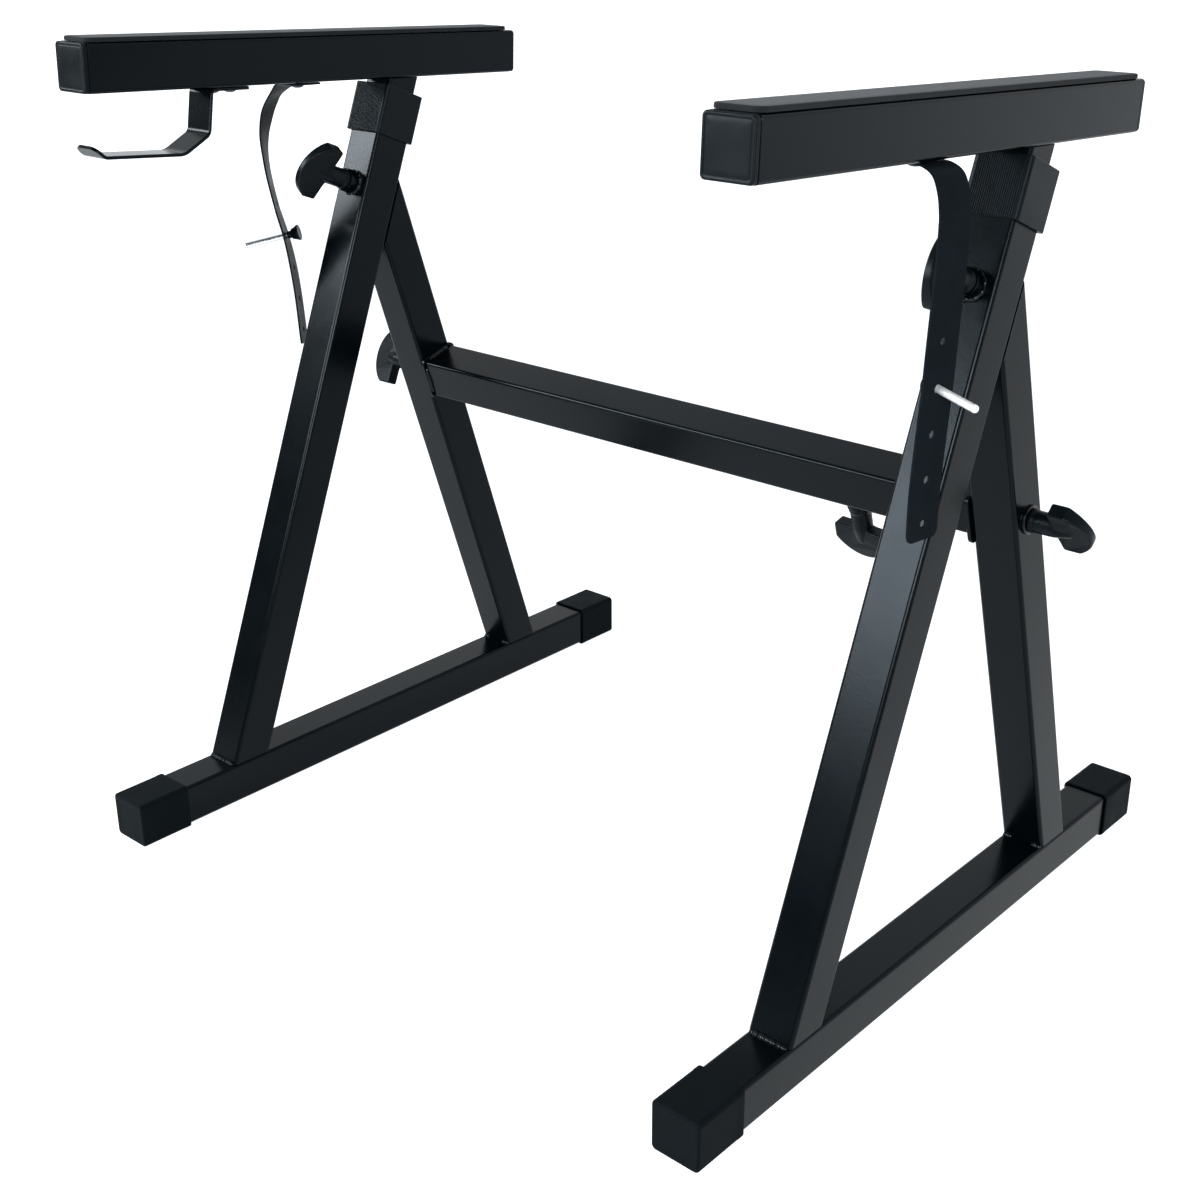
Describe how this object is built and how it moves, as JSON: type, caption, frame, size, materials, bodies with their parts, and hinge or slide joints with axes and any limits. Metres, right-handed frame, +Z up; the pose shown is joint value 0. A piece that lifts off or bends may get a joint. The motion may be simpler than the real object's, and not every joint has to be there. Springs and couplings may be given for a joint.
{
  "type": "keyboard stand",
  "caption": "Low A-frame keyboard stand: padded arms on telescoping leaning posts, telescoping crossbar, wing-knob clamps, hanging rubber straps with pins and a headphone hook.",
  "frame": {"origin": "floor level, at the middle of the bounding box", "axes": "+Z up, +X to the right from the player's side, +Y from the player's side to the rear"},
  "size_m": [0.7232, 0.5896, 0.6418],
  "materials": {
    "black_powder_coat": "satin black powder coat",
    "black_plastic": "moulded, lightly grained",
    "boot_rubber": "matt moulded rubber",
    "pad_foam": "matt foam rubber",
    "strap_rubber": "smooth flexible rubber",
    "bright_zinc": "bright zinc plate",
    "black_zinc": "black zinc plate"
  },
  "bodies": {
    "left_frame": {"left_foot_tube": "black_powder_coat", "left_front_boot": "boot_rubber", "left_rear_boot": "boot_rubber", "left_upright": "black_powder_coat", "left_brace": "black_powder_coat", "left_collar": "black_plastic", "left_height_boss": "black_powder_coat", "left_side_washer": "black_zinc", "left_bar_plate": "black_powder_coat", "crossbar_outer": "black_powder_coat", "width_boss": "black_powder_coat"},
    "left_lift": {"left_post": "black_powder_coat", "left_arm": "black_powder_coat", "left_arm_front_plug": "black_plastic", "left_arm_rear_plug": "black_plastic", "left_pad": "pad_foam", "left_strap_screw": "black_zinc", "headphone_hook": "black_powder_coat", "hook_screw_a": "black_zinc", "hook_screw_b": "black_zinc"},
    "left_strap_body": {"left_strap": "strap_rubber"},
    "left_pin_body": {"left_pin": "bright_zinc", "left_pin_grip": "black_plastic"},
    "left_height_clamp": {"left_height_knob": "black_plastic", "left_height_screw": "bright_zinc"},
    "left_side_clamp": {"left_side_knob": "black_plastic", "left_side_screw": "bright_zinc"},
    "right_frame": {"right_foot_tube": "black_powder_coat", "right_front_boot": "boot_rubber", "right_rear_boot": "boot_rubber", "right_upright": "black_powder_coat", "right_brace": "black_powder_coat", "right_collar": "black_plastic", "right_height_boss": "black_powder_coat", "right_side_washer": "black_zinc", "right_bar_plate": "black_powder_coat", "crossbar_inner": "black_powder_coat"},
    "right_lift": {"right_post": "black_powder_coat", "right_arm": "black_powder_coat", "right_arm_front_plug": "black_plastic", "right_arm_rear_plug": "black_plastic", "right_pad": "pad_foam", "right_strap_screw": "black_zinc"},
    "right_strap_body": {"right_strap": "strap_rubber"},
    "right_pin_body": {"right_pin": "bright_zinc", "right_pin_grip": "black_plastic"},
    "right_height_clamp": {"right_height_knob": "black_plastic", "right_height_screw": "bright_zinc"},
    "right_side_clamp": {"right_side_knob": "black_plastic", "right_side_screw": "bright_zinc"},
    "width_clamp": {"width_knob": "black_plastic", "width_screw": "bright_zinc"}
  },
  "joints": [
    {"name": "width_slide", "type": "slide", "parent": "left_frame", "child": "right_frame", "axis": [1, 0, 0], "range_m": [-0.05, 0.25]},
    {"name": "left_height_slide", "type": "slide", "parent": "left_frame", "child": "left_lift", "axis": [0, 0.3649, 0.9311], "range_m": [0, 0.28]},
    {"name": "left_height_knob_turn", "type": "hinge", "parent": "left_frame", "child": "left_height_clamp", "pos_m": [-0.294, -0.02195, 0.51272], "axis": [0, -0.9311, 0.3649], "continuous": true},
    {"name": "left_side_knob_turn", "type": "hinge", "parent": "left_frame", "child": "left_side_clamp", "pos_m": [-0.3138, 0.06287, 0.33528], "axis": [-1, 0, 0], "continuous": true},
    {"name": "left_strap_swivel", "type": "hinge", "parent": "left_lift", "child": "left_strap_body", "pos_m": [-0.294, -0.06373, 0.59315], "axis": [0, 0.0436, 0.999], "range_deg": [-8, 50]},
    {"name": "left_pin_slide", "type": "slide", "parent": "left_strap_body", "child": "left_pin_body", "axis": [-0.7382, -0.6305, -0.24], "range_m": [-0.016, 0]},
    {"name": "right_height_slide", "type": "slide", "parent": "right_frame", "child": "right_lift", "axis": [0, 0.3649, 0.9311], "range_m": [0, 0.28]},
    {"name": "right_height_knob_turn", "type": "hinge", "parent": "right_frame", "child": "right_height_clamp", "pos_m": [0.294, -0.02195, 0.51272], "axis": [0, -0.9311, 0.3649], "continuous": true},
    {"name": "right_side_knob_turn", "type": "hinge", "parent": "right_frame", "child": "right_side_clamp", "pos_m": [0.3138, 0.06287, 0.33528], "axis": [1, 0, 0], "continuous": true},
    {"name": "right_strap_swivel", "type": "hinge", "parent": "right_lift", "child": "right_strap_body", "pos_m": [0.294, -0.08821, 0.59422], "axis": [0, 0.0436, 0.999], "range_deg": [-50, 9]},
    {"name": "right_pin_slide", "type": "slide", "parent": "right_strap_body", "child": "right_pin_body", "axis": [0.9285, -0.3606, -0.0889], "range_m": [-0.045, 0]},
    {"name": "width_knob_turn", "type": "hinge", "parent": "left_frame", "child": "width_clamp", "pos_m": [0.1685, 0.07141, 0.30883], "axis": [0, 0.3074, -0.9516], "continuous": true}
  ]
}
